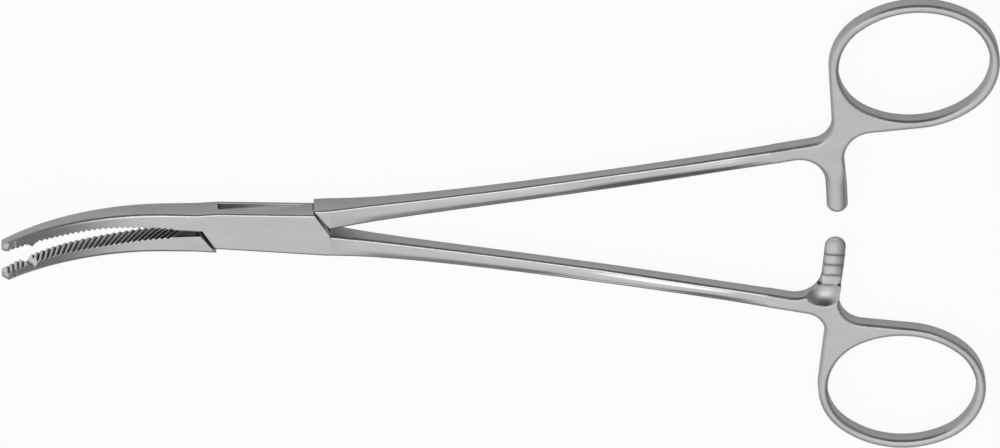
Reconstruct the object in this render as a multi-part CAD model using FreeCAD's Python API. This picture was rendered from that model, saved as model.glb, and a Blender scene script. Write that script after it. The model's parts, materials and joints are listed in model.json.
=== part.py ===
"""Curved box-lock hysterectomy forceps, modelled as the real instrument is made.

Two forged halves cross in a box lock and turn on one riveted pin. The box half carries
the upper jaw, the slotted box, the lower shank, the lower ratchet arm and the lower ring.
The tongue half carries the lower jaw, the thin tongue that passes through the box, the
upper shank, the upper ratchet arm and the upper ring.

Frame: origin on the pin's axis, in the plane of the box's back face. +X runs to the finger
rings, +Y to the upper ring and +Z out of the front face. The jaws curve towards +Z.
Each half is drawn closed, with its clamping face at Y = 0, and then turned about the pin
by half of the opening angle at which the instrument lies at rest.
"""
import FreeCAD, Part
import math
import os

# Opening at rest
REST_OPENING_DEG = 5.5

# Box lock
BOX_DEPTH = 5.6
BOX_HALF_HEIGHT_JAW_END = 4.35
BOX_HALF_HEIGHT_SHANK_END = 4.95
BOX_TOP_LENGTH = 20.9
BOX_END_SLOPE_DEG = 54.5
JAW_END_NEARER_BY = 1.1
BACK_PLATE = 1.15
FRONT_PLATE = 2.05
PLATE_CLEARANCE = 0.05
SHOULDER_GAP = 0.3
SLOT_MOUTH_X = 9.6
SLOT_END_SLOPE_DEG = 43.5
TONGUE_HALF_HEIGHT = 4.0
PIN_RADIUS = 1.6
PIN_CLEARANCE = 0.03
BODY_ROUNDING = 0.6
BOX_LEDGE = 0.04

# Jaws
JAW_ROOT_X = 14.0
BEND_START_X = 20.0
BEND_RADIUS = 50.0
BEND_ANGLE_DEG = 43.0
JAW_ROOT_HEIGHT = 3.85
JAW_MID_HEIGHT = 3.05
JAW_TIP_HEIGHT = 2.25
JAW_MID_DEPTH = 4.1
JAW_TIP_DEPTH = 2.3
JAW_TIP_ROUNDING = 1.05
TIP_BACK_RADIUS = 1.7
FACE_BOW = 0.35
FACE_BOW_START_X = 18.0
FACE_BOW_END_X = 44.5
JAW_STRAIGHT_SECTIONS = 4
JAW_BENT_SECTIONS = 11

# Serrations of the clamping faces
SERRATION_PITCH = 1.27
SERRATION_WIDTH = 0.8
SERRATION_DEPTH = 0.4
SERRATION_SLANT_DEG = 37.0
SERRATION_START_X = 17.2
SERRATION_TIP_MARGIN = 1.2

# Tooth of the upper jaw and its notch in the lower jaw
TOOTH_FROM_TIP = 7.1
TOOTH_HEIGHT = 1.0
TOOTH_BASE = 2.4
TOOTH_SIDE_MARGIN = 0.35
NOTCH_CLEARANCE = 0.25

# Ratchet arms, bent to arcs round the pin
ARM_INNER_RADIUS = 117.7
ARM_WIDTH = 4.4
UPPER_ARM_REACH = 1.6
LOWER_ARM_REACH = 2.45
ARM_GAP = 0.1
RATCHET_PITCH = 2.47
RATCHET_TEETH = 4
RATCHET_DEPTH = 0.6
RATCHET_FIRST_CREST_Y = 1.3
RATCHET_BEVEL = 0.5
RUNOUT_RADIUS = 4.4
RUNOUT_SHIFT = 1.4

# Shanks: three points of the centre line, and the section at the box and along the shank
SHANK_ROOT_X = 14.0
SHANK_ROOT_Y = 2.52
SHANK_MID_Y = 6.79
SHANK_END_Y = 12.57
SHANK_END_BEFORE_ARM = 9.5
SHANK_ROOT_HEIGHT = 4.8
SHANK_HEIGHT = 3.4
SHANK_DEPTH = 3.6
SHANK_CROWN = 0.2
CROWN_FADE = 9.0
HEIGHT_FADE = 15.0
DEPTH_FADE = 10.5
SHANK_SECTIONS = 14
SECTION_CROWDING = 1.5
CROTCH_FILLET = 1.6

# Web between shank, ring and ratchet arm
WEB_FOOT_BEYOND_ARM = 1.7
WEB_FOOT_RISE = 0.9
WEB_ELBOW_RISE = 6.8
WEB_RING_FILLET = 4.6
WEB_ARM_FILLET = 5.8
SHANK_ARM_FILLET = 5.5

# Finger rings
RING_BEYOND_FOOT = 17.1
RING_RISE = 19.25
RING_HOLE_LENGTH = 31.5
RING_HOLE_WIDTH = 25.7
RING_END_TIGHTER_BY = 1.25
RING_WIRE = 2.0
RING_TILT_DEG = 3.2
HANDLE_ROUNDING = 0.85
HANDLE_BEVEL = 0.55

# Values worked out from the sizes above
MID_Z = BOX_DEPTH / 2
SLOT_LOW_Z = BACK_PLATE
SLOT_HIGH_Z = BOX_DEPTH - FRONT_PLATE
HALF_OPENING_DEG = REST_OPENING_DEG / 2
JAW_STRAIGHT = BEND_START_X - JAW_ROOT_X
BEND_LENGTH = BEND_RADIUS * math.radians(BEND_ANGLE_DEG)
JAW_LENGTH = JAW_STRAIGHT + BEND_LENGTH
LAST_CREST_Y = RATCHET_FIRST_CREST_Y + (RATCHET_TEETH - 1) * RATCHET_PITCH
SHANK_END_X = ARM_INNER_RADIUS - SHANK_END_BEFORE_ARM
WEB_FOOT_X = ARM_INNER_RADIUS + WEB_FOOT_BEYOND_ARM
RING_CENTRE_X = WEB_FOOT_X + RING_BEYOND_FOOT
ARM_TOP_Y = LAST_CREST_Y + RATCHET_PITCH / 2
RING_END_RADIUS = RING_HOLE_WIDTH / 2 - RING_END_TIGHTER_BY
RING_SIDE_RADIUS = (((RING_HOLE_LENGTH / 2 - RING_END_RADIUS) ** 2 + (RING_HOLE_WIDTH / 2) ** 2
                     - RING_END_RADIUS ** 2) / (RING_HOLE_WIDTH - 2 * RING_END_RADIUS))
FAR = 3 * BOX_TOP_LENGTH
SPILL = BOX_DEPTH / 5
TINY = 0.001


def vec(x, y, z=0.0):
    return FreeCAD.Vector(x, y, z)


def polygon_solid(points, low_z, high_z):
    """A prism along Z over a closed outline of straight edges."""
    corners = [vec(x, y, low_z) for x, y in points]
    face = Part.Face(Part.makePolygon(corners + corners[:1]))
    return face.extrude(vec(0, 0, high_z - low_z))


def mirrored_in_y(shape):
    return shape.mirror(vec(0, 0, 0), vec(0, 1, 0))


def through_three(t, start, middle, end):
    """A quadratic that takes the three values at t = 0, 0.5 and 1."""
    return (start * (1 - t) * (1 - 2 * t)
            + 4 * middle * t * (1 - t)
            + end * t * (2 * t - 1))


def box_half_height(x):
    """Half height of the box, which widens a little towards the shanks."""
    share = (x + BOX_TOP_LENGTH / 2) / BOX_TOP_LENGTH
    return BOX_HALF_HEIGHT_JAW_END + share * (BOX_HALF_HEIGHT_SHANK_END - BOX_HALF_HEIGHT_JAW_END)


def face_bow(x):
    """How far a clamping face stands back from Y = 0, so that the tips meet first."""
    span = (FACE_BOW_END_X - FACE_BOW_START_X) / 2
    middle = FACE_BOW_START_X + span
    offset = (-x - middle) / span
    if abs(offset) >= 1:
        return 0.0
    return FACE_BOW * (1 - offset * offset) ** 2


def jaw_station(distance):
    """Centre, angle, height, depth and rounding at a distance along the jaw from its root."""
    t = distance / JAW_LENGTH
    angle = max(0.0, distance - JAW_STRAIGHT) / BEND_RADIUS
    if distance <= JAW_STRAIGHT:
        x = -JAW_ROOT_X - distance
    else:
        x = -BEND_START_X - BEND_RADIUS * math.sin(angle)
    z = MID_Z + BEND_RADIUS * (1 - math.cos(angle))
    height = through_three(t, JAW_ROOT_HEIGHT, JAW_MID_HEIGHT, JAW_TIP_HEIGHT)
    depth = through_three(t, BOX_DEPTH, JAW_MID_DEPTH, JAW_TIP_DEPTH)
    rounding = BODY_ROUNDING + t * (JAW_TIP_ROUNDING - BODY_ROUNDING)
    return x, z, angle, height, depth, rounding


def jaw_section(distance):
    """A D-shaped wire: flat clamping face, straight sides and a back with round corners."""
    x, z, angle, height, depth, rounding = jaw_station(distance)
    across = vec(math.sin(angle), 0, math.cos(angle))
    up = vec(0, 1, 0)
    centre = vec(x, 0, z)
    low = face_bow(x)
    half = depth / 2
    diagonal = rounding * (1 - math.sqrt(0.5))

    def at(side, y):
        return centre + across * side + up * y

    front_low, front_high = at(half, low), at(half, height - rounding)
    front_mid = at(half - diagonal, height - diagonal)
    back_front, back_rear = at(half - rounding, height), at(rounding - half, height)
    rear_mid = at(diagonal - half, height - diagonal)
    rear_high, rear_low = at(-half, height - rounding), at(-half, low)
    edges = [
        Part.makeLine(front_low, front_high),
        Part.Arc(front_high, front_mid, back_front).toShape(),
        Part.makeLine(back_front, back_rear),
        Part.Arc(back_rear, rear_mid, rear_high).toShape(),
        Part.makeLine(rear_high, rear_low),
        Part.makeLine(rear_low, front_low),
    ]
    return Part.Wire(edges)


def tip_envelope():
    """Everything behind a round end, seen from the side of the bend, as a prism along Y."""
    x, z, angle, height, depth, rounding = jaw_station(JAW_LENGTH)
    along = vec(-math.cos(angle), 0, math.sin(angle))
    across = vec(math.sin(angle), 0, math.cos(angle))
    end = vec(x, -FAR / 2, z)
    radius = depth / 2
    shoulder = end - along * radius
    back = shoulder - along * radius
    wide = FAR
    edges = [
        Part.makeLine(back - across * wide, back - across * radius),
        Part.makeLine(back - across * radius, shoulder - across * radius),
        Part.Arc(shoulder - across * radius, end, shoulder + across * radius).toShape(),
        Part.makeLine(shoulder + across * radius, back + across * radius),
        Part.makeLine(back + across * radius, back + across * wide),
        Part.makeLine(back + across * wide, back + across * wide - along * wide * 2),
        Part.makeLine(back + across * wide - along * wide * 2, back - across * wide - along * wide * 2),
        Part.makeLine(back - across * wide - along * wide * 2, back - across * wide),
    ]
    return Part.Face(Part.Wire(edges)).extrude(vec(0, FAR, 0))


def tip_corner():
    """What the round corner between the tip and the jaw's back takes away."""
    x, z, angle, height, depth, rounding = jaw_station(JAW_LENGTH)
    along = vec(-math.cos(angle), 0, math.sin(angle))
    across = vec(math.sin(angle), 0, math.cos(angle))
    up = vec(0, 1, 0)
    corner = vec(x, height, z) - across * depth
    on_back = corner - along * TIP_BACK_RADIUS
    on_end = corner - up * TIP_BACK_RADIUS
    middle = corner - (along + up) * TIP_BACK_RADIUS * (1 - math.sqrt(0.5))
    beyond = corner + (along + up) * SPILL
    edges = [
        Part.Arc(on_back, middle, on_end).toShape(),
        Part.makeLine(on_end, on_end + along * SPILL),
        Part.makeLine(on_end + along * SPILL, beyond),
        Part.makeLine(beyond, on_back + up * SPILL),
        Part.makeLine(on_back + up * SPILL, on_back),
    ]
    return Part.Face(Part.Wire(edges)).extrude(across * depth * 2)


def jaw_blank():
    """The upper jaw from its root to its round tip, before the serrations."""
    straight = [JAW_STRAIGHT * i / JAW_STRAIGHT_SECTIONS for i in range(JAW_STRAIGHT_SECTIONS)]
    bent = [JAW_STRAIGHT + BEND_LENGTH * i / JAW_BENT_SECTIONS for i in range(JAW_BENT_SECTIONS + 1)]
    jaw = Part.makeLoft([jaw_section(s) for s in straight + bent], True, False)
    return jaw.common(tip_envelope()).cut(tip_corner())


def groove(distance, width, depth):
    """A V-shaped cutter across the clamping face, slanted to the jaw.

    It stands out of the face as far as it cuts, and so is twice the groove's width there.
    """
    x, z, angle, height, jaw_depth, rounding = jaw_station(distance)
    lean = math.radians(SERRATION_SLANT_DEG) - angle
    run = vec(math.sin(lean), 0, -math.cos(lean))
    sideways = vec(math.cos(lean), 0, math.sin(lean))
    face_y = face_bow(x)
    centre = vec(x, face_y, z) - run * jaw_depth
    corners = [
        centre + vec(0, depth, 0),
        centre + sideways * width - vec(0, depth, 0),
        centre - sideways * width - vec(0, depth, 0),
    ]
    return Part.Face(Part.makePolygon(corners + corners[:1])).extrude(run * jaw_depth * 2)


def serrations(phase):
    """All the grooves of one clamping face; the two faces differ by half a pitch."""
    first = SERRATION_START_X - JAW_ROOT_X + phase * SERRATION_PITCH
    last = JAW_LENGTH - SERRATION_TIP_MARGIN
    count = int((last - first) / SERRATION_PITCH) + 1
    cutters = [groove(first + i * SERRATION_PITCH, SERRATION_WIDTH, SERRATION_DEPTH)
               for i in range(count)]
    return Part.makeCompound(cutters)


def tooth_prism(grow, side_margin, sink):
    """The tooth near the tip, or with grow the room that its notch leaves for it."""
    x, z, angle, height, depth, rounding = jaw_station(JAW_LENGTH - TOOTH_FROM_TIP)
    along = vec(-math.cos(angle), 0, math.sin(angle))
    across = vec(math.sin(angle), 0, math.cos(angle))
    half_depth = depth / 2 - side_margin
    half_base = TOOTH_BASE / 2 + grow
    centre = vec(x, face_bow(x), z) - across * half_depth
    corners = [
        centre - along * half_base,
        centre - vec(0, TOOTH_HEIGHT + grow, 0),
        centre + along * half_base,
        centre + along * half_base + vec(0, sink, 0),
        centre - along * half_base + vec(0, sink, 0),
    ]
    return Part.Face(Part.makePolygon(corners + corners[:1])).extrude(across * half_depth * 2)


def upper_jaw():
    jaw = jaw_blank().cut(serrations(0.0))
    return jaw.fuse(tooth_prism(0.0, TOOTH_SIDE_MARGIN, SERRATION_DEPTH * 2))


def lower_jaw():
    """The lower jaw, with the notch that the tooth closes into."""
    jaw = mirrored_in_y(jaw_blank().cut(serrations(0.5)))
    return jaw.cut(tooth_prism(NOTCH_CLEARANCE, -SPILL, SPILL))


def shank_centre_y(x):
    """The gentle outward curve of the shank, through its root, middle and end."""
    return through_three((x - SHANK_ROOT_X) / (SHANK_END_X - SHANK_ROOT_X),
                         SHANK_ROOT_Y, SHANK_MID_Y, SHANK_END_Y)


def shank_height(x):
    fade = math.exp(-max(0.0, x - SHANK_ROOT_X) / HEIGHT_FADE)
    return SHANK_HEIGHT + (SHANK_ROOT_HEIGHT - SHANK_HEIGHT) * fade


def shank_depth(x):
    fade = math.exp(-max(0.0, x - SHANK_ROOT_X) / DEPTH_FADE)
    return SHANK_DEPTH + (BOX_DEPTH - SHANK_DEPTH) * fade


def shank_crown(x):
    """How far the front and back faces bulge; they are flat at both ends of the shank."""
    from_end = min(x - SHANK_ROOT_X, SHANK_END_X - x)
    return SHANK_CROWN * min(1.0, from_end / CROWN_FADE)


def rounded_section(x, rounding):
    """The shank's section at x: a rounded rectangle with bulging front and back."""
    centre_y, half_h, half_d = shank_centre_y(x), shank_height(x) / 2, shank_depth(x) / 2
    crown = shank_crown(x)
    bulge = rounding * (1 - math.sqrt(0.5))
    shoulder = half_d - crown
    corners = []
    for side_y, side_z in ((1, 1), (-1, 1), (-1, -1), (1, -1)):
        on_side = vec(x, centre_y + side_y * half_h, MID_Z + side_z * (shoulder - rounding))
        middle = vec(x, centre_y + side_y * (half_h - bulge), MID_Z + side_z * (shoulder - bulge))
        on_face = vec(x, centre_y + side_y * (half_h - rounding), MID_Z + side_z * shoulder)
        corners.append((on_side, middle, on_face) if side_y == side_z else (on_face, middle, on_side))
    edges = []
    for i, (start, middle, end) in enumerate(corners):
        following = corners[(i + 1) % 4][0]
        edges.append(Part.Arc(start, middle, end).toShape())
        if i % 2 or crown < TINY:
            edges.append(Part.makeLine(end, following))
        else:
            top = vec(x, centre_y, MID_Z + (half_d if i == 0 else -half_d))
            edges.append(Part.Arc(end, top, following).toShape())
    return Part.Wire(edges)


def upper_shank():
    """The upper shank from the box to the handle; its sections crowd towards the box."""
    wires = []
    for i in range(SHANK_SECTIONS + 1):
        share = (i / SHANK_SECTIONS) ** SECTION_CROWDING
        x = SHANK_ROOT_X + share * (SHANK_END_X - SHANK_ROOT_X)
        wires.append(rounded_section(x, BODY_ROUNDING + share * (HANDLE_ROUNDING - BODY_ROUNDING)))
    return Part.makeLoft(wires, True, True)


def ring_centre():
    return RING_CENTRE_X, shank_centre_y(WEB_FOOT_X) + WEB_FOOT_RISE - SHANK_HEIGHT / 2 + RING_RISE


def ring_point(along, across):
    """A point given along and across the tilted ring, from its centre."""
    tilt = math.radians(RING_TILT_DEG)
    x, y = ring_centre()
    return (x + along * math.cos(tilt) - across * math.sin(tilt),
            y + along * math.sin(tilt) + across * math.cos(tilt))


def ring_oval(grow):
    """The ring's oval of four arcs, grown outwards from the edge of its hole, as a face."""
    end_offset = RING_HOLE_LENGTH / 2 - RING_END_RADIUS
    side_offset = RING_SIDE_RADIUS - RING_HOLE_WIDTH / 2
    lean = math.atan2(side_offset, end_offset)
    join_x = end_offset + (RING_END_RADIUS + grow) * math.cos(lean)
    join_y = (RING_END_RADIUS + grow) * math.sin(lean)
    end_x = RING_HOLE_LENGTH / 2 + grow
    side_y = RING_HOLE_WIDTH / 2 + grow
    stops = [(join_x, -join_y), (end_x, 0), (join_x, join_y), (0, side_y), (-join_x, join_y),
             (-end_x, 0), (-join_x, -join_y), (0, -side_y), (join_x, -join_y)]
    points = [vec(*ring_point(*stop)) for stop in stops]
    arcs = [Part.Arc(*points[i:i + 3]).toShape() for i in (0, 2, 4, 6)]
    return Part.Face(Part.Wire(arcs))


def touch_point(centre, radius, spot, side):
    """Where a line from an outside spot touches a circle, on one side of it."""
    dx, dy = spot[0] - centre[0], spot[1] - centre[1]
    angle = math.atan2(dy, dx) + side * math.acos(radius / math.hypot(dx, dy))
    return centre[0] + radius * math.cos(angle), centre[1] + radius * math.sin(angle)


def arm_point(radius, y):
    return math.sqrt(radius * radius - y * y), y


def arm_face(reach, inner_top_y):
    """The ratchet arm seen from the front: an arc round the pin with a round end."""
    outer_radius = ARM_INNER_RADIUS + ARM_WIDTH
    middle_radius = ARM_INNER_RADIUS + ARM_WIDTH / 2
    end_y = ARM_WIDTH / 2 - reach
    inner = [arm_point(ARM_INNER_RADIUS, y) for y in (end_y, (inner_top_y + end_y) / 2, inner_top_y)]
    outer = [arm_point(outer_radius, y) for y in (ARM_TOP_Y, (ARM_TOP_Y + end_y) / 2, end_y)]
    tip = arm_point(middle_radius, -reach)
    edges = [
        Part.Arc(*[vec(*p) for p in inner]).toShape(),
        Part.makeLine(vec(*inner[2]), vec(*outer[0])),
        Part.Arc(*[vec(*p) for p in outer]).toShape(),
        Part.Arc(vec(*outer[2]), vec(*tip), vec(*inner[0])).toShape(),
    ]
    return Part.Face(Part.Wire(edges))


def upright_edge_near(shape, spot):
    """The edge along Z that stands nearest to a place."""
    best, best_distance = None, SPILL
    for edge in shape.Edges:
        box = edge.BoundBox
        if box.XLength > TINY or box.YLength > TINY or box.ZLength < TINY:
            continue
        distance = math.hypot(box.XMin - spot[0], box.YMin - spot[1])
        if distance < best_distance:
            best, best_distance = edge, distance
    if best is None:
        raise ValueError("no upright edge near %.2f, %.2f" % spot)
    return best


def handle_outline(reach):
    """Web, ring and arm as one flat solid with sharp edges, and its concave corners."""
    outer_radius = ARM_INNER_RADIUS + ARM_WIDTH
    half = SHANK_HEIGHT / 2
    slope = (shank_centre_y(WEB_FOOT_X) - shank_centre_y(SHANK_END_X)) / (WEB_FOOT_X - SHANK_END_X)

    def bar_y(x, side):
        return shank_centre_y(SHANK_END_X) + slope * (x - SHANK_END_X) + side * half

    bar_start_x, bar_end_x = SHANK_END_X - half, WEB_FOOT_X + half / 2
    bar = [(bar_start_x, bar_y(bar_start_x, -1)), (bar_end_x, bar_y(bar_end_x, -1)),
           (bar_end_x, bar_y(bar_end_x, 1)), (bar_start_x, bar_y(bar_start_x, 1))]
    foot = (WEB_FOOT_X, ring_centre()[1] - RING_RISE)
    end_centre = ring_point(RING_END_RADIUS - RING_HOLE_LENGTH / 2, 0)
    side_centre = ring_point(0, RING_SIDE_RADIUS - RING_HOLE_WIDTH / 2)
    left_touch = touch_point(end_centre, RING_END_RADIUS + RING_WIRE, foot, -1)
    arm_top = arm_point(outer_radius, ARM_TOP_Y)
    elbow = arm_point(outer_radius, ARM_TOP_Y + WEB_ELBOW_RISE)
    right_touch = touch_point(side_centre, RING_SIDE_RADIUS + RING_WIRE, elbow, 1)
    arm_inside = arm_point(ARM_INNER_RADIUS, ARM_TOP_Y)
    web = [foot, left_touch, ring_centre(), right_touch, elbow, arm_top, arm_inside]
    armpit_x = math.sqrt(ARM_INNER_RADIUS ** 2 - bar_y(ARM_INNER_RADIUS, -1) ** 2)
    armpit = (armpit_x, bar_y(armpit_x, -1))
    low_z = MID_Z - SHANK_DEPTH / 2
    thickness = vec(0, 0, SHANK_DEPTH)
    solids = [polygon_solid(points, low_z, low_z + SHANK_DEPTH) for points in (bar, web)]
    for face in (arm_face(reach, bar_y(armpit_x, 0) + half / 2), ring_oval(RING_WIRE)):
        solid = face.extrude(thickness)
        solid.translate(vec(0, 0, low_z))
        solids.append(solid)
    plate = solids[0].multiFuse(solids[1:]).removeSplitter()
    ring_corner = (WEB_FOOT_X, bar_y(WEB_FOOT_X, 1))
    return plate, ring_corner, elbow, armpit


def handle_plate(reach):
    """The flat end of a shank: web, ring and arm in one outline, with broken edges."""
    plate, ring_corner, elbow, armpit = handle_outline(reach)
    fillets = ((ring_corner, WEB_RING_FILLET), (elbow, WEB_ARM_FILLET), (armpit, SHANK_ARM_FILLET))
    for spot, radius in fillets:
        plate = plate.makeFillet(radius, [upright_edge_near(plate, spot)])
    plate = plate.cut(ring_oval(0).extrude(vec(0, 0, BOX_DEPTH)))
    low_z, high_z = MID_Z - SHANK_DEPTH / 2, MID_Z + SHANK_DEPTH / 2
    rims = []
    for edge in plate.Edges:
        box = edge.BoundBox
        flat = box.ZLength < TINY and (abs(box.ZMin - low_z) < TINY or abs(box.ZMax - high_z) < TINY)
        at_shank = box.XMax < SHANK_END_X
        if flat and not at_shank:
            rims.append(edge)
    return plate.makeChamfer(HANDLE_BEVEL, rims)


def arm_bevel(radius, crest_z, reach, outward):
    """A long wedge that bevels one side of a toothed arm, bent round the pin with it."""
    tip = vec(radius - outward * RATCHET_BEVEL, 0, crest_z)
    corners = [tip + vec(-outward * SPILL, 0, SPILL),
               tip + vec(outward * (RATCHET_BEVEL + SPILL), 0, -RATCHET_BEVEL - SPILL),
               tip + vec(outward * (RATCHET_BEVEL + SPILL), 0, SPILL)]
    face = Part.Face(Part.makePolygon(corners + corners[:1]))
    start, end = -(reach + SPILL) / radius, LAST_CREST_Y / radius
    face.rotate(vec(0, 0), vec(0, 0, 1), math.degrees(start))
    return face.revolve(vec(0, 0), vec(0, 0, 1), math.degrees(end - start))


def ratchet_cutter(reach):
    """Takes away the front half of an arm, down to sloping teeth and a scooped run-out.

    Each tooth climbs away from the arm's tip and ends in a steep face, so that a closing
    arm rides over the other one's teeth and is then held by them.
    """
    crest_z = MID_Z - ARM_GAP / 2
    root_z = crest_z - RATCHET_DEPTH
    high_z = BOX_DEPTH + SPILL
    profile = [(-reach - SPILL, high_z), (-reach - SPILL, root_z),
               (RATCHET_FIRST_CREST_Y - RATCHET_PITCH, root_z)]
    for i in range(RATCHET_TEETH):
        crest_y = RATCHET_FIRST_CREST_Y + i * RATCHET_PITCH
        profile.append((crest_y, crest_z))
        profile.append((crest_y, root_z))
    profile[-1] = (LAST_CREST_Y, high_z)
    low_x, high_x = ARM_INNER_RADIUS - ARM_WIDTH, ARM_INNER_RADIUS + 2 * ARM_WIDTH
    corners = [vec(low_x, y, z) for y, z in profile]
    teeth = Part.Face(Part.makePolygon(corners + corners[:1])).extrude(vec(high_x - low_x, 0, 0))
    front_z = MID_Z + SHANK_DEPTH / 2
    drop = front_z - root_z
    ball_radius = (RUNOUT_RADIUS ** 2 + drop ** 2) / (2 * drop)
    ball = Part.makeSphere(ball_radius)
    ball_x = arm_point(ARM_INNER_RADIUS + ARM_WIDTH / 2, LAST_CREST_Y)[0] - RUNOUT_SHIFT
    ball.translate(vec(ball_x, LAST_CREST_Y, root_z + ball_radius))
    above_teeth = polygon_solid([(low_x, LAST_CREST_Y), (low_x + FAR, LAST_CREST_Y),
                                 (low_x + FAR, FAR), (low_x, FAR)], -FAR, FAR)
    bevels = [arm_bevel(ARM_INNER_RADIUS, crest_z, reach, -1),
              arm_bevel(ARM_INNER_RADIUS + ARM_WIDTH, crest_z, reach, 1)]
    return teeth.multiFuse([ball.common(above_teeth)] + bevels)


def flipped_in_z(shape):
    """The same shape with front and back exchanged."""
    return shape.mirror(vec(0, 0, MID_Z), vec(0, 0, 1))


def upper_handle():
    """Shank, ring and the upper ratchet arm, whose teeth look backwards."""
    handle = upper_shank().fuse(handle_plate(UPPER_ARM_REACH))
    return handle.cut(flipped_in_z(ratchet_cutter(UPPER_ARM_REACH)))


def lower_handle():
    """Shank, ring and the lower ratchet arm, whose teeth look forwards."""
    handle = upper_shank().fuse(handle_plate(LOWER_ARM_REACH))
    return mirrored_in_y(handle.cut(ratchet_cutter(LOWER_ARM_REACH)))


def end_line(offset):
    """Two far points of the box's shank-end edge, moved out by an offset."""
    slope = math.radians(BOX_END_SLOPE_DEG)
    along = (math.cos(slope), -math.sin(slope))
    outward = (math.sin(slope), math.cos(slope))
    x = BOX_TOP_LENGTH / 2 + outward[0] * offset
    y = box_half_height(BOX_TOP_LENGTH / 2) + outward[1] * offset
    return [(x - along[0] * FAR / 4, y - along[1] * FAR / 4),
            (x + along[0] * FAR / 4, y + along[1] * FAR / 4)]


def beyond_end(offset, side):
    """Everything beyond the shank-end edge (side 1) or the jaw-end edge (side -1).

    The jaw-end edge is the other one turned half round, and lies a little nearer to the pin.
    """
    high, low = end_line(offset if side > 0 else offset - JAW_END_NEARER_BY)
    far = FAR / 2
    points = [high, low, (low[0] + far, low[1]), (high[0] + far, high[1])]
    return polygon_solid([(side * x, side * y) for x, y in points], -SPILL, BOX_DEPTH + SPILL)


def slot_band(gap, low_z, high_z):
    """The band that the tongue runs in, between the box's two solid corners."""
    slope = math.radians(SLOT_END_SLOPE_DEG)
    along = (math.cos(slope), math.sin(slope))
    inward = (math.sin(slope), -math.cos(slope))
    mouth = (-SLOT_MOUTH_X + inward[0] * gap, box_half_height(-SLOT_MOUTH_X) + inward[1] * gap)
    low = (mouth[0] - along[0] * FAR / 4, mouth[1] - along[1] * FAR / 4)
    high = (mouth[0] + along[0] * FAR / 8, mouth[1] + along[1] * FAR / 8)
    points = [low, high, (-low[0], -low[1]), (-high[0], -high[1])]
    return polygon_solid(points, low_z, high_z)


def box_block():
    """The box before its slot is cut: long edges round, ends oblique."""
    left_x, right_x = -JAW_ROOT_X, SHANK_ROOT_X
    top_y = box_half_height(BOX_TOP_LENGTH / 2)
    shank_bottom = -(shank_centre_y(right_x) + shank_height(right_x) / 2) - BOX_LEDGE
    outline = [(left_x, JAW_ROOT_HEIGHT), (-SLOT_MOUTH_X, box_half_height(-SLOT_MOUTH_X)),
               (BOX_TOP_LENGTH / 2, top_y), (right_x, top_y),
               (right_x, shank_bottom), (left_x, -box_half_height(left_x))]
    block = polygon_solid(outline, 0, BOX_DEPTH)
    return block.makeFillet(BODY_ROUNDING, long_edges(block))


def crotch():
    """The round corner between the box's oblique end and the lower shank's inner side."""
    root_y = -(shank_centre_y(SHANK_ROOT_X) - shank_height(SHANK_ROOT_X) / 2)
    far_x = SHANK_ROOT_X + CROTCH_FILLET
    far_y = -(shank_centre_y(far_x) - shank_height(far_x) / 2)
    shank_angle = math.atan2(far_y - root_y, CROTCH_FILLET)
    end_angle = math.pi - math.radians(BOX_END_SLOPE_DEG)
    half_turn = (end_angle - shank_angle) / 2
    run = CROTCH_FILLET / math.tan(half_turn)
    corner = vec(SHANK_ROOT_X, root_y)

    def away(angle, distance):
        return corner + vec(math.cos(angle) * distance, math.sin(angle) * distance)

    middle_angle = shank_angle + half_turn
    middle = away(middle_angle, CROTCH_FILLET / math.sin(half_turn) - CROTCH_FILLET)
    inside = away(middle_angle + math.pi, BODY_ROUNDING)
    on_shank, on_end = away(shank_angle, run), away(end_angle, run)
    wire = Part.Wire([Part.Arc(on_shank, middle, on_end).toShape(),
                      Part.makeLine(on_end, inside), Part.makeLine(inside, on_shank)])
    filler = Part.Face(wire).extrude(vec(0, 0, BOX_DEPTH - 2 * BODY_ROUNDING))
    filler.translate(vec(0, 0, BODY_ROUNDING))
    return filler


def long_edges(block):
    """The edges of a block's front and back faces that run mostly along X."""
    found = []
    for edge in block.Edges:
        box = edge.BoundBox
        if box.ZLength < TINY and box.XLength > BODY_ROUNDING and box.YLength < box.XLength:
            found.append(edge)
    return found


def pin_hole(radius):
    hole = Part.makeCylinder(radius, BOX_DEPTH + 2 * SPILL)
    hole.translate(vec(0, 0, -SPILL))
    return hole


def turned(shape, degrees):
    shape.rotate(vec(0, 0, 0), vec(0, 0, 1), degrees)
    return shape


def box_half():
    """The half with the slotted box, turned to its place at rest."""
    block = box_block()
    below_jaw = polygon_solid([(-FAR, -FAR), (0, -FAR), (0, 0), (-FAR, 0)], -SPILL, BOX_DEPTH + SPILL)
    block = block.cut(beyond_end(0.0, 1)).cut(beyond_end(0.0, -1).common(below_jaw))
    half = block.multiFuse([crotch(), upper_jaw(), lower_handle()])
    half = half.cut(slot_band(0.0, SLOT_LOW_Z, SLOT_HIGH_Z)).cut(pin_hole(PIN_RADIUS))
    return turned(half, -HALF_OPENING_DEG)


def tongue():
    """The thin plate of the tongue half that passes through the box."""
    band = slot_band(SHOULDER_GAP, SLOT_LOW_Z + PLATE_CLEARANCE, SLOT_HIGH_Z - PLATE_CLEARANCE)
    reach_x = SHANK_ROOT_X + SPILL
    strip = polygon_solid([(-reach_x, -TONGUE_HALF_HEIGHT), (reach_x, -TONGUE_HALF_HEIGHT),
                           (reach_x, TONGUE_HALF_HEIGHT), (-reach_x, TONGUE_HALF_HEIGHT)],
                          0, BOX_DEPTH)
    return band.common(strip)


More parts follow.
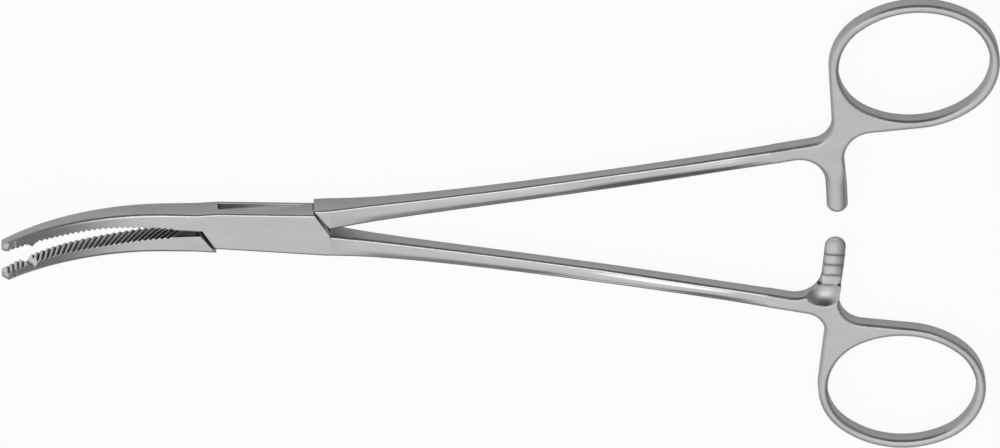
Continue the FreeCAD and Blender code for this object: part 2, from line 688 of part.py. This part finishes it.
def tongue_half():
    """The half whose tongue passes through the box, turned to its place at rest."""
    jaw_root = polygon_solid([(-JAW_ROOT_X, 0), (-JAW_ROOT_X, -JAW_ROOT_HEIGHT),
                              (-SLOT_MOUTH_X, -box_half_height(-SLOT_MOUTH_X)), (-SLOT_MOUTH_X, 0)],
                             0, BOX_DEPTH)
    root_x = SHANK_ROOT_X
    low_y = shank_centre_y(root_x) - shank_height(root_x) / 2
    high_y = shank_centre_y(root_x) + shank_height(root_x) / 2
    shank_root = polygon_solid([(SLOT_MOUTH_X, low_y), (root_x, low_y), (root_x, high_y),
                                (SLOT_MOUTH_X, high_y)], 0, BOX_DEPTH)
    blocks = []
    for block, sharp_above_y in ((jaw_root, -BODY_ROUNDING), (shank_root, FAR)):
        edges = [edge for edge in long_edges(block) if edge.BoundBox.YMin < sharp_above_y]
        blocks.append(block.makeFillet(BODY_ROUNDING, edges))
    jaw_end = blocks[0].common(beyond_end(SHOULDER_GAP, -1))
    shank_end = blocks[1].common(beyond_end(SHOULDER_GAP, 1))
    half = tongue().multiFuse([jaw_end, shank_end, lower_jaw(), upper_handle()])
    half = half.cut(pin_hole(PIN_RADIUS + PIN_CLEARANCE))
    return turned(half, HALF_OPENING_DEG)


def lock_pin():
    """The rivet, ground flush with both faces of the box."""
    return Part.makeCylinder(PIN_RADIUS, BOX_DEPTH)


def main():
    os.makedirs("parts", exist_ok=True)
    for name, make in (("box_half", box_half), ("tongue_half", tongue_half), ("lock_pin", lock_pin)):
        shape = make()
        shape.exportStep("parts/" + name + ".step")
        print(name, len(shape.Solids), "solids", len(shape.Faces), "faces", round(shape.Volume, 1), "mm3")


if __name__ == "__main__":
    main()
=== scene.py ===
import json
import math

import bpy
from bpy.props import FloatProperty, FloatVectorProperty, PointerProperty
from mathutils import Matrix, Vector

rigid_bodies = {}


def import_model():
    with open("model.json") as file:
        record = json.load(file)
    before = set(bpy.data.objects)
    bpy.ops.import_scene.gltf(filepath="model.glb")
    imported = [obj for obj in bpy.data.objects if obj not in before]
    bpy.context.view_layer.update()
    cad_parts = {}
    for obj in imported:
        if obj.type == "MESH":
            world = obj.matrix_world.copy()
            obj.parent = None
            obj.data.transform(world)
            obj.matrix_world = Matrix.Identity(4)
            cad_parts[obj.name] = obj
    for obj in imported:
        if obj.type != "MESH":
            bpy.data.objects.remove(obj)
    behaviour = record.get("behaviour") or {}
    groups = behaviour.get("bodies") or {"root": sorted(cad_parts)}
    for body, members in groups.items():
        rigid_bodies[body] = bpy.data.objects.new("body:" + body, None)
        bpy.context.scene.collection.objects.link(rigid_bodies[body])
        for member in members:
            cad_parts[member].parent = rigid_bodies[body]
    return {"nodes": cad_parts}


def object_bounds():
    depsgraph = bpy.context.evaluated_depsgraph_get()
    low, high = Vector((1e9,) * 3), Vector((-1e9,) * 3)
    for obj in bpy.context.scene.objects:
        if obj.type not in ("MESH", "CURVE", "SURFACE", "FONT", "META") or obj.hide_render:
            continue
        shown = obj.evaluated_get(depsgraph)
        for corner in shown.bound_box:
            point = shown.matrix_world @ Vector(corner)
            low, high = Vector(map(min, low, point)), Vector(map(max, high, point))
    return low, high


bl_info = {
    "name": "Hysterectomy Forceps",
    "version": (1, 0, 0),
    "blender": (4, 5, 0),
    "location": "3D View > Sidebar > Forceps",
    "description": "Dresses a curved box-lock hysterectomy forceps in satin steel and lights it",
    "category": "Object",
}

for startup_object in list(bpy.data.objects):
    bpy.data.objects.remove(startup_object)
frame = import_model()
cad_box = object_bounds()

# Lengths over which a finish fades in or out, in metres
HANDLE_FADE = 0.01
TIP_FADE = 0.001
TOOTHED_FADE = 0.0015

# Places between which a finish fades, in metres from the pin along X
JAWS_END = (-0.017, -0.015)
SERRATIONS_END = (-0.0185, -0.0175)

# Places between which a finish fades on the ratchet arms, in metres from the pin along Y
LOWER_ARM_ROOT = (-0.019, -0.015)
LOWER_ARM_TOP = (0.0, 0.001)
CROWN_END = (0.01, 0.0155)

# Sizes of the steel's clouds and specks, in metres
CLOUD_SIZE = (0.012, 0.004, 0.004)
SPECK_SIZE = (0.0004, 0.0004, 0.0004)

# Tones of the steel, as shares of its colour; the share for edges and lands is a painted highlight
DULL_SHARE = 0.84
BRIGHT_SHARE = 1.08
PAINTED_HIGHLIGHT_SHARE = 1.75
SPECK_SPAN = (0.62, 0.75)
SPECK_SHARE = 0.12

# How much the clouds and the grinding marks change the roughness
GRAIN_ROUGHNESS = 0.1
CLOUD_ROUGHNESS = 0.05
GRAIN_STRENGTH = 0.5

# How far two normals agree at an edge with a painted highlight, and beside it
EDGE_HIGHLIGHT_SPAN = (0.85, 0.995)
# How steeply a face looks up where its painted edge highlights show
FLAT_SPAN = (0.75, 0.85)
# How far a face of the jaw looks across towards the upper ring where a serration's land gets a painted
# highlight
LAND_SPAN = (0.3, 0.5)
# Openness of a groove where its painted shade is darkest, and where it is as light as the rest
HOLLOW_SPAN = (0.64, 0.97)

# How the tongue half and the pin differ from the box half; the tongue half's darker tone is painted shade
TONGUE_ROUGHER_BY = 0.01
TONGUE_SHADE = 0.98
PIN_SMOOTHER_BY = 0.02

# Size of the paper's fibres and distance under the forceps in metres, and its darkest tone as a share
PAPER_FIBRE = 0.0015
FLOOR_DROP = 0.0001
PAPER_DARKEST = 0.985

# Width of the camera's film in millimetres, and what it can see in metres
FILM_WIDTH = 36.0
NEAREST_SEEN = 0.1
FARTHEST_SEEN = 200.0

# Brightness of the tent: angle from overhead towards the upper ring in degrees, and level
SKY_BANDS = (
    (-180, 0.24),
    (-70, 0.1),
    (-54, 0.24),
    (-42, 0.88),
    (-31, 1.04),
    (-10, 0.96),
    (8, 0.96),
    (22, 1.04),
    (36, 0.32),
    (46, 0.08),
    (100, 0.05),
    (180, 0.24),
)
# Level of the tent beyond the jaws and beyond the rings, and where each side begins
JAW_SIDE_LEVEL = 0.8
RING_SIDE_LEVEL = 0.24
JAW_SIDE = (-0.85, -0.4)
RING_SIDE = (0.15, 0.75)


class SteelFinish(bpy.types.PropertyGroup):
    """Colours and surface sizes of the satin steel."""
    colour: FloatVectorProperty(
        name="Steel colour", description="Reflected colour of the ground steel",
        default=(0.56, 0.56, 0.558), min=0.0, max=1.0, subtype="COLOR")
    # Colour of the painted shade that darkens grooves, seams and inner corners
    painted_shade_colour: FloatVectorProperty(
        name="Shaded colour", description="Colour of the steel deep in grooves and seams",
        default=(0.02, 0.02, 0.021), min=0.0, max=1.0, subtype="COLOR")
    roughness: FloatProperty(
        name="Roughness", description="Blur of the satin finish",
        default=0.27, min=0.0, max=1.0, subtype="FACTOR")
    # The polish makes the edges that carry the painted highlight smoother
    polish: FloatProperty(
        name="Edge polish", description="How much smoother the rubbed edges are",
        default=0.1, min=0.0, max=1.0, subtype="FACTOR")
    grain_length: FloatProperty(
        name="Grain length", description="Length of one grinding mark",
        default=0.006, unit="LENGTH")
    grain_width: FloatProperty(
        name="Grain width", description="Width of one grinding mark",
        default=0.00022, unit="LENGTH")
    grain_depth: FloatProperty(
        name="Grain depth", description="Height of the grinding marks",
        default=0.000004, unit="LENGTH", precision=6)
    edge_width: FloatProperty(
        name="Edge width", description="Width of the rounding along an edge",
        default=0.00025, unit="LENGTH", precision=5)
    # Width and dullness of the painted highlight: a pale, less metallic line along edges that stands in
    # for light caught there
    highlight_width: FloatProperty(
        name="Rubbed width", description="Width of the pale rubbed line along an edge",
        default=0.00014, unit="LENGTH", precision=5)
    highlight_dullness: FloatProperty(
        name="Rubbed dullness",
        description="How much the rubbed lines scatter light instead of mirroring it",
        default=0.7, min=0.0, max=1.0, subtype="FACTOR")
    handle_edge_width: FloatProperty(
        name="Handle edge width",
        description="Width of the softly rounded band along the handles' edges",
        default=0.0006, unit="LENGTH", precision=5)
    handle_start: FloatProperty(
        name="Handle start", description="Distance from the pin at which the handles' softer edges begin",
        default=0.098, unit="LENGTH")
    tip_start: FloatProperty(
        name="Tip start", description="Distance from the pin at which the jaws' soft tips begin",
        default=0.0502, unit="LENGTH")
    tip_width: FloatProperty(
        name="Tip width", description="Width of the rounding on the jaws' tips",
        default=0.0011, unit="LENGTH", precision=5)
    toothed_roughness: FloatProperty(
        name="Toothed roughness", description="How much duller the ratchet teeth and their run-out are",
        default=0.22, min=0.0, max=1.0, subtype="FACTOR")
    toothed_radius: FloatProperty(
        name="Toothed radius", description="Distance of the ratchet arms from the pin",
        default=0.1199, unit="LENGTH")
    toothed_reach: FloatProperty(
        name="Toothed reach", description="How far the duller finish reaches from the arms' middle line",
        default=0.0045, unit="LENGTH", precision=5)
    arm_reach: FloatProperty(
        name="Arm reach", description="How far from the arms' middle line their faces look crowned",
        default=0.0023, unit="LENGTH", precision=5)
    arm_crown: FloatProperty(
        name="Arm crown", description="Radius of the slight crown that grinding left across the arms",
        default=0.0038, unit="LENGTH", precision=5)
    rivet_reach: FloatProperty(
        name="Rivet reach", description="Distance from the pin's axis within which no seam shows",
        default=0.0022, unit="LENGTH", precision=5)
    # Reach of the painted shade in grooves, seams and inner corners
    groove_reach: FloatProperty(
        name="Groove reach", description="How near two walls are where the steel looks dark",
        default=0.0009, unit="LENGTH", precision=5)


class StudioLight(bpy.types.PropertyGroup):
    """Floor, its glow and the lamp."""
    floor_colour: FloatVectorProperty(
        name="Floor colour", description="Colour of the paper under the forceps",
        default=(0.72, 0.72, 0.72), min=0.0, max=1.0, subtype="COLOR")
    backdrop_colour: FloatVectorProperty(
        name="Backdrop colour", description="Colour in which the floor glows behind the forceps",
        default=(1.0, 1.0, 1.0), min=0.0, max=1.0, subtype="COLOR")
    seen_glow: FloatProperty(
        name="Seen glow", description="How much the floor glows by itself when looked at",
        default=0.94, min=0.0, max=1.0, subtype="FACTOR")
    mirrored_glow: FloatProperty(
        name="Mirrored glow", description="How much the floor glows by itself where the steel mirrors it",
        default=0.1, min=0.0, max=1.0, subtype="FACTOR")
    floor_size: FloatProperty(
        name="Floor size", description="Side of the square floor",
        default=60.0, unit="LENGTH")
    lamp_power: FloatProperty(
        name="Lamp power", description="Power of the overhead strip light",
        default=3.5, unit="POWER")
    lamp_length: FloatProperty(
        name="Lamp length", description="Length of the strip light, along the forceps",
        default=1.5, unit="LENGTH")
    lamp_width: FloatProperty(
        name="Lamp width", description="Width of the strip light",
        default=0.3, unit="LENGTH")
    lamp_height: FloatProperty(
        name="Lamp height", description="Height of the strip light over the floor",
        default=1.2, unit="LENGTH")
    lamp_lean: FloatProperty(
        name="Lamp lean", description="Angle of the strip light from overhead towards the upper ring",
        default=math.radians(20.0), subtype="ANGLE", unit="ROTATION")


class PhotographView(bpy.types.PropertyGroup):
    """Place of the camera, as in the photograph."""
    target: FloatVectorProperty(
        name="Target", description="Point of the forceps in the middle of the picture",
        default=(0.049477, 0.000829, 0.00312), subtype="TRANSLATION", unit="LENGTH", precision=5)
    tilt: FloatProperty(
        name="Tilt", description="Lean of the camera from overhead towards the upper ring",
        default=math.radians(30.971), subtype="ANGLE", unit="ROTATION")
    turn: FloatProperty(
        name="Turn", description="Lean of the camera towards the jaws",
        default=math.radians(2.045), subtype="ANGLE", unit="ROTATION")
    roll: FloatProperty(
        name="Roll", description="Turn of the picture about its middle",
        default=math.radians(0.1166), subtype="ANGLE", unit="ROTATION")
    distance: FloatProperty(
        name="Distance", description="Camera's distance from the target",
        default=2.2904, unit="LENGTH")
    width_seen: FloatProperty(
        name="Width seen", description="Width of the scene at the target that fills the picture",
        default=0.208646, unit="LENGTH", precision=5)


class NodeBuilder:
    """Short calls that add nodes to one node tree and join them."""

    def __init__(self, tree):
        self.tree = tree
        tree.nodes.clear()

    def add(self, kind, **settings):
        made = self.tree.nodes.new(kind)
        for name, value in settings.items():
            setattr(made, name, value)
        return made

    def join(self, source, target):
        self.tree.links.new(source, target)

    def feed(self, socket, value):
        """Joins a node's result to a socket, or writes a plain number or colour there."""
        if isinstance(value, bpy.types.NodeSocket):
            self.join(value, socket)
        elif isinstance(value, (int, float)):
            socket.default_value = value
        else:
            socket.default_value = (*value, 1.0)

    def math(self, operation, first, second=None, clamp=False):
        made = self.add("ShaderNodeMath", operation=operation, use_clamp=clamp)
        self.feed(made.inputs[0], first)
        if second is not None:
            self.feed(made.inputs[1], second)
        return made.outputs[0]

    def plus(self, first, second, clamp=False):
        return self.math("ADD", first, second, clamp)

    def minus(self, first, second):
        return self.math("SUBTRACT", first, second)

    def times(self, first, second):
        return self.math("MULTIPLY", first, second)

    def span(self, value, limits, from_level, to_level):
        """Turns a value smoothly from one level into another between two limits."""
        made = self.add("ShaderNodeMapRange", interpolation_type="SMOOTHSTEP")
        self.join(value, made.inputs["Value"])
        made.inputs["From Min"].default_value = limits[0]
        made.inputs["From Max"].default_value = limits[1]
        made.inputs["To Min"].default_value = from_level
        made.inputs["To Max"].default_value = to_level
        return made.outputs["Result"]

    def mix(self, share, first, second):
        """Mixes two colours; a share of 1 gives the second."""
        made = self.add("ShaderNodeMix", data_type="RGBA")
        self.feed(made.inputs[0], share)
        self.feed(made.inputs[6], first)
        self.feed(made.inputs[7], second)
        return made.outputs[2]

    def axes(self, vector):
        """The X, Y and Z of a vector, as outputs of one node."""
        made = self.add("ShaderNodeSeparateXYZ")
        self.join(vector, made.inputs[0])
        return made.outputs

    def noise(self, coordinates, sizes, detail=2.0, roughness=0.5):
        """Noise whose blotches measure the given sizes, in metres, along X, Y and Z."""
        stretch = self.add("ShaderNodeMapping")
        stretch.inputs["Scale"].default_value = [1.0 / size for size in sizes]
        self.join(coordinates, stretch.inputs["Vector"])
        made = self.add("ShaderNodeTexNoise")
        made.inputs["Scale"].default_value = 1.0
        made.inputs["Detail"].default_value = detail
        made.inputs["Roughness"].default_value = roughness
        self.join(stretch.outputs["Vector"], made.inputs["Vector"])
        return made.outputs["Fac"]

    def rounded_normal(self, radius, samples):
        """The normal as it would be with every edge rounded to a radius."""
        made = self.add("ShaderNodeBevel", samples=samples)
        self.join(radius, made.inputs["Radius"])
        return made.outputs["Normal"]

    def bump(self, height, distance, strength, normal):
        made = self.add("ShaderNodeBump")
        made.inputs["Strength"].default_value = strength
        made.inputs["Distance"].default_value = distance
        self.join(height, made.inputs["Height"])
        self.join(normal, made.inputs["Normal"])
        return made.outputs["Normal"]


class SteelPlaces:
    """Where on one half a point of the steel lies.

    Each place is a share from 0, elsewhere, to 1, there; off_arm_line is a distance in metres.
    """

    def __init__(self, build, finish, position):
        self.build = build
        self.axes = build.axes(position)
        squares = build.plus(build.math("POWER", self.axes["X"], 2.0),
                             build.math("POWER", self.axes["Y"], 2.0))
        from_pin = build.math("POWER", squares, 0.5)
        self.off_rivet = build.math("GREATER_THAN", from_pin, finish.rivet_reach)
        self.off_arm_line = build.math("ABSOLUTE", build.minus(from_pin, finish.toothed_radius))
        self.handle = self.along((finish.handle_start, finish.handle_start + HANDLE_FADE), 0.0, 1.0)
        self.tip = self.along((-finish.tip_start - TIP_FADE, -finish.tip_start), 1.0, 0.0)
        self.jaws = self.along(JAWS_END, 1.0, 0.0)
        self.serrations = self.along(SERRATIONS_END, 1.0, 0.0)

    def along(self, limits, from_level, to_level):
        return self.build.span(self.axes["X"], limits, from_level, to_level)

    def across(self, limits, from_level, to_level):
        return self.build.span(self.axes["Y"], limits, from_level, to_level)


def toothed_face(build, finish, places):
    """The front of the lower ratchet arm, where the finish is duller."""
    fade = (finish.toothed_reach - TOOTHED_FADE, finish.toothed_reach)
    near = build.span(places.off_arm_line, fade, 1.0, 0.0)
    lower_arm = build.times(places.across(LOWER_ARM_ROOT, 0.0, 1.0),
                            places.across(LOWER_ARM_TOP, 1.0, 0.0))
    return build.times(near, lower_arm)


def arm_crown(build, finish, places):
    """Height of the slight crown across both ratchet arms."""
    reach = build.math("MINIMUM", places.off_arm_line, finish.arm_reach)
    # A circle falls away from its top by the square of the distance over twice its radius
    crown = build.times(build.math("POWER", reach, 2.0), -1 / (2 * finish.arm_crown))
    off_middle = build.math("ABSOLUTE", places.axes["Y"])
    return build.times(crown, build.span(off_middle, CROWN_END, 1.0, 0.0))


def softened_normal(build, finish, places):
    """Normal with rounded edges, softer on the handles and round on the jaws' tips."""
    softness = build.span(places.handle, (0.0, 1.0), finish.edge_width, finish.handle_edge_width)
    softness = build.plus(softness, build.times(places.tip, finish.tip_width - finish.edge_width))
    normal = build.rounded_normal(build.times(softness, places.off_rivet), samples=6)
    return build.bump(arm_crown(build, finish, places), distance=1.0, strength=1.0, normal=normal)


def painted_edge_highlight(build, finish, places, flat_normal):
    """Mask of a painted highlight: narrow pale lines along the edges of the fronts and of the jaws."""
    rounded = build.rounded_normal(build.times(places.off_rivet, finish.highlight_width), samples=4)
    agreement = build.add("ShaderNodeVectorMath", operation="DOT_PRODUCT")
    build.join(rounded, agreement.inputs[0])
    build.join(flat_normal, agreement.inputs[1])
    looks_up = build.math("ABSOLUTE", build.axes(flat_normal)["Z"])
    shown = build.math("MAXIMUM", build.span(looks_up, FLAT_SPAN, 0.0, 1.0), places.jaws)
    return build.times(build.span(agreement.outputs["Value"], EDGE_HIGHLIGHT_SPAN, 1.0, 0.0), shown)


def painted_crease_shade(build, finish, places):
    """Painted shade in grooves, seams and inner corners, where the steel looks dark."""
    made = build.add("ShaderNodeAmbientOcclusion", samples=6, only_local=True)
    made.inputs["Distance"].default_value = finish.groove_reach
    return build.times(build.span(made.outputs["AO"], HOLLOW_SPAN, 1.0, 0.0), places.off_rivet)


def steel_material(name, finish, roughness_shift=0.0, shade=1.0, paints_land_highlight=False):
    """Satin steel with grinding marks, cloudy tone, painted highlights along edges and lands, and painted
    shade in grooves and seams; a shade below 1 darkens the whole copy as painted shade.
    """
    material = bpy.data.materials.new(name)
    material.use_nodes = True
    build = NodeBuilder(material.node_tree)
    output = build.add("ShaderNodeOutputMaterial")
    shader = build.add("ShaderNodeBsdfPrincipled")
    build.join(shader.outputs[0], output.inputs["Surface"])

    position = build.add("ShaderNodeTexCoord").outputs["Object"]
    flat_normal = build.add("ShaderNodeNewGeometry").outputs["Normal"]
    grain_size = (finish.grain_length, finish.grain_width, finish.grain_width)
    grain = build.noise(position, grain_size, detail=3.0, roughness=0.6)
    clouds = build.noise(position, CLOUD_SIZE, detail=3.0, roughness=0.55)
    specks = build.noise(position, SPECK_SIZE, detail=2.0, roughness=0.6)
    places = SteelPlaces(build, finish, position)

    # A shade below 1 gives a darker copy of the steel as painted shade
    steel = [channel * shade for channel in finish.colour]
    dull = [channel * DULL_SHARE for channel in steel]
    bright = [min(1.0, channel * BRIGHT_SHARE) for channel in steel]
    # Pale tone of the painted highlight on edges and on the serrations' lands
    painted_highlight = [min(1.0, channel * PAINTED_HIGHLIGHT_SHARE) for channel in steel]
    tone = build.mix(clouds, dull, bright)
    tone = build.mix(build.span(specks, SPECK_SPAN, 0.0, SPECK_SHARE), tone, dull)

    # deep is the share of painted shade in grooves, seams and inner corners
    deep = painted_crease_shade(build, finish, places)
    if paints_land_highlight:
        # Painted highlight on the serrations' lands that face the upper ring
        land_highlight = build.span(build.axes(flat_normal)["Y"], LAND_SPAN, 0.0, 1.0)
        tone = build.mix(build.times(land_highlight, places.serrations), tone, painted_highlight)
    else:
        # No painted shade on the jaws' rounded tips
        deep = build.times(deep, build.minus(1.0, places.tip))
    # edge is the share of painted highlight along edges, kept off the painted shade
    edge = build.times(painted_edge_highlight(build, finish, places, flat_normal), build.minus(1.0, deep))
    tone = build.mix(edge, tone, painted_highlight)
    # Painted shade: grooves, seams and inner corners take the shaded colour
    tone = build.mix(deep, tone, tuple(finish.painted_shade_colour))
    build.join(tone, shader.inputs["Base Color"])
    # Metallic drops on the painted highlight, so that it scatters light and looks pale whatever it faces
    build.join(build.minus(1.0, build.times(edge, finish.highlight_dullness)), shader.inputs["Metallic"])

    # Half of the grain's roughness is taken off, so that the marks lie evenly about the set value
    plain = finish.roughness + roughness_shift - GRAIN_ROUGHNESS / 2
    rough = build.plus(build.times(grain, GRAIN_ROUGHNESS), plain)
    rough = build.minus(rough, build.times(edge, finish.polish))
    rough = build.plus(rough, build.times(clouds, CLOUD_ROUGHNESS))
    duller = build.times(toothed_face(build, finish, places), finish.toothed_roughness)
    build.join(build.plus(rough, duller, clamp=True), shader.inputs["Roughness"])

    normal = softened_normal(build, finish, places)
    build.join(build.bump(grain, finish.grain_depth, GRAIN_STRENGTH, normal), shader.inputs["Normal"])
    return material


def dress(node_name, material):
    """Gives a node of the frame its material."""
    piece = frame["nodes"][node_name]
    piece.data.materials.clear()
    piece.data.materials.append(material)


class FORCEPS_OT_box_half(bpy.types.Operator):
    """Gives the half with the slotted box its satin steel."""
    bl_idname = "forceps.box_half"
    bl_label = "Dress box half"

    def execute(self, context):
        dress("box_half", steel_material("satin_steel", context.scene.forceps_steel))
        return {"FINISHED"}


class FORCEPS_OT_tongue_half(bpy.types.Operator):
    """Gives the half with the tongue its satin steel."""
    bl_idname = "forceps.tongue_half"
    bl_label = "Dress tongue half"

    def execute(self, context):
        dress("tongue_half",
              steel_material("satin_steel_tongue", context.scene.forceps_steel,
                             roughness_shift=TONGUE_ROUGHER_BY, shade=TONGUE_SHADE,
                             paints_land_highlight=True))
        return {"FINISHED"}


class FORCEPS_OT_lock_pin(bpy.types.Operator):
    """Gives the rivet of the lock its flush ground finish."""
    bl_idname = "forceps.lock_pin"
    bl_label = "Dress lock pin"

    def execute(self, context):
        dress("lock_pin",
              steel_material("ground_pin_steel", context.scene.forceps_steel,
                             roughness_shift=-PIN_SMOOTHER_BY))
        return {"FINISHED"}


def own_glow(build, studio):
    """How much of the floor's look is its own glow, for each kind of ray that meets it."""
    paths = build.add("ShaderNodeLightPath")
    seen = build.times(paths.outputs["Is Camera Ray"], studio.seen_glow)
    mirrored = build.times(paths.outputs["Is Glossy Ray"], studio.mirrored_glow)
    through = build.times(paths.outputs["Is Transmission Ray"], studio.seen_glow)
    return build.plus(build.plus(seen, mirrored), through, clamp=True)


class FORCEPS_OT_stage(bpy.types.Operator):
    """Lays the white floor under the forceps."""
    bl_idname = "forceps.stage"
    bl_label = "Lay the floor"

    def execute(self, context):
        studio = context.scene.forceps_studio
        half = studio.floor_size / 2
        mesh = bpy.data.meshes.new("floor")
        corners = [(-half, -half, 0), (half, -half, 0), (half, half, 0), (-half, half, 0)]
        mesh.from_pydata(corners, [], [(0, 1, 2, 3)])
        floor = bpy.data.objects.new("floor", mesh)
        context.scene.collection.objects.link(floor)
        floor.location.z = cad_box[0].z - FLOOR_DROP
        material = bpy.data.materials.new("white_paper")
        material.use_nodes = True
        build = NodeBuilder(material.node_tree)
        output = build.add("ShaderNodeOutputMaterial")
        paper = build.add("ShaderNodeBsdfDiffuse")
        place = build.add("ShaderNodeTexCoord").outputs["Object"]
        fibres = build.noise(place, (PAPER_FIBRE, PAPER_FIBRE, PAPER_FIBRE), detail=4.0)
        slightly_dark = [channel * PAPER_DARKEST for channel in studio.floor_colour]
        build.join(build.mix(fibres, slightly_dark, tuple(studio.floor_colour)), paper.inputs["Color"])
        glow = build.add("ShaderNodeEmission")
        glow.inputs["Color"].default_value = (*studio.backdrop_colour, 1.0)
        surface = build.add("ShaderNodeMixShader")
        build.join(own_glow(build, studio), surface.inputs[0])
        build.join(paper.outputs[0], surface.inputs[1])
        build.join(glow.outputs[0], surface.inputs[2])
        build.join(surface.outputs[0], output.inputs["Surface"])
        mesh.materials.append(material)
        return {"FINISHED"}


def sky_bands(build, axes):
    """Brightness of the tent by the angle between overhead and the upper ring's side."""
    angle = build.math("ARCTAN2", axes["Y"], axes["Z"])
    turn = build.plus(build.math("DIVIDE", angle, 2 * math.pi), 0.5)
    bands = build.add("ShaderNodeValToRGB")
    ramp = bands.color_ramp
    ramp.interpolation = "EASE"
    while len(ramp.elements) > 1:
        ramp.elements.remove(ramp.elements[-1])
    brightest = max(level for _, level in SKY_BANDS)
    for index, (degrees, level) in enumerate(SKY_BANDS):
        place = degrees / 360 + 0.5
        stop = ramp.elements[0] if index == 0 else ramp.elements.new(place)
        stop.position = place
        stop.color = (level / brightest, level / brightest, level / brightest, 1.0)
    build.join(turn, bands.inputs["Fac"])
    return build.times(bands.outputs["Color"], brightest)


class FORCEPS_OT_light(bpy.types.Operator):
    """Lights the forceps with a soft tent, darker beyond the rings, and a strip light."""
    bl_idname = "forceps.light"
    bl_label = "Light the forceps"

    def execute(self, context):
        studio = context.scene.forceps_studio
        world = bpy.data.worlds.new("soft_tent")
        context.scene.world = world
        world.use_nodes = True
        build = NodeBuilder(world.node_tree)
        output = build.add("ShaderNodeOutputWorld")
        direction = build.add("ShaderNodeTexCoord").outputs["Generated"]
        axes = build.axes(direction)
        jaw_side = build.span(axes["X"], JAW_SIDE, 1.0, 0.0)
        ring_side = build.span(axes["X"], RING_SIDE, 0.0, 1.0)
        between = build.minus(build.minus(1.0, jaw_side), ring_side)
        level = build.times(sky_bands(build, axes), between)
        level = build.plus(level, build.times(jaw_side, JAW_SIDE_LEVEL))
        level = build.plus(level, build.times(ring_side, RING_SIDE_LEVEL))
        tent = build.add("ShaderNodeBackground")
        tent.inputs["Color"].default_value = (1.0, 1.0, 1.0, 1.0)
        build.join(level, tent.inputs["Strength"])
        build.join(tent.outputs[0], output.inputs["Surface"])

        lamp = bpy.data.lights.new("strip_light", "AREA")
        lamp.shape = "RECTANGLE"
        lamp.energy = studio.lamp_power
        lamp.size = studio.lamp_length
        lamp.size_y = studio.lamp_width
        holder = bpy.data.objects.new("strip_light", lamp)
        context.scene.collection.objects.link(holder)
        middle = (cad_box[0].x + cad_box[1].x) / 2
        holder.location = (middle, studio.lamp_height * math.tan(studio.lamp_lean), studio.lamp_height)
        holder.rotation_euler.x = -studio.lamp_lean
        return {"FINISHED"}


class FORCEPS_OT_camera(bpy.types.Operator):
    """Puts the camera where the photograph was taken from."""
    bl_idname = "forceps.camera"
    bl_label = "Place the camera"

    def execute(self, context):
        view = context.scene.forceps_view
        back = Vector((-math.sin(view.turn) * math.cos(view.tilt), math.sin(view.tilt),
                       math.cos(view.tilt) * math.cos(view.turn))).normalized()
        steep = Vector((0.0, math.cos(view.tilt), -math.sin(view.tilt)))
        right = steep.cross(back).normalized()
        up = back.cross(right)
        level_right = right * math.cos(view.roll) - up * math.sin(view.roll)
        level_up = right * math.sin(view.roll) + up * math.cos(view.roll)
        data = bpy.data.cameras.new("photograph_view")
        data.sensor_width = FILM_WIDTH
        data.lens = data.sensor_width * view.distance / view.width_seen
        data.clip_start = NEAREST_SEEN
        data.clip_end = FARTHEST_SEEN
        camera = bpy.data.objects.new("photograph_view", data)
        context.scene.collection.objects.link(camera)
        camera.matrix_world = Matrix.Translation(Vector(view.target) + back * view.distance) @ Matrix(
            (level_right, level_up, back)).transposed().to_4x4()
        context.scene.camera = camera
        context.scene.view_settings.view_transform = "Standard"
        return {"FINISHED"}


class FORCEPS_PT_panel(bpy.types.Panel):
    """Lists the forceps' pieces, finish and studio."""
    bl_label = "Forceps"
    bl_idname = "FORCEPS_PT_panel"
    bl_space_type = "VIEW_3D"
    bl_region_type = "UI"
    bl_category = "Forceps"

    def draw(self, context):
        layout = self.layout
        for heading, settings in (("Steel", context.scene.forceps_steel),
                                  ("Studio", context.scene.forceps_studio),
                                  ("View", context.scene.forceps_view)):
            box = layout.box()
            box.label(text=heading)
            for name in settings.__annotations__:
                box.prop(settings, name)
        for operator in OPERATORS:
            layout.operator(operator.bl_idname)


SETTINGS = {
    "forceps_steel": SteelFinish,
    "forceps_studio": StudioLight,
    "forceps_view": PhotographView,
}
OPERATORS = (
    FORCEPS_OT_camera,
    FORCEPS_OT_box_half,
    FORCEPS_OT_tongue_half,
    FORCEPS_OT_lock_pin,
    FORCEPS_OT_stage,
    FORCEPS_OT_light,
)


def register():
    for name, group in SETTINGS.items():
        bpy.utils.register_class(group)
        setattr(bpy.types.Scene, name, PointerProperty(type=group))
    for shown in (*OPERATORS, FORCEPS_PT_panel):
        bpy.utils.register_class(shown)


def unregister():
    for shown in reversed((*OPERATORS, FORCEPS_PT_panel)):
        bpy.utils.unregister_class(shown)
    for name, group in reversed(list(SETTINGS.items())):
        delattr(bpy.types.Scene, name)
        bpy.utils.unregister_class(group)


def main():
    register()
    bpy.ops.forceps.camera()
    bpy.ops.forceps.box_half()
    bpy.ops.forceps.tongue_half()
    bpy.ops.forceps.lock_pin()
    bpy.ops.forceps.stage()
    bpy.ops.forceps.light()


if __name__ == "__main__":
    main()
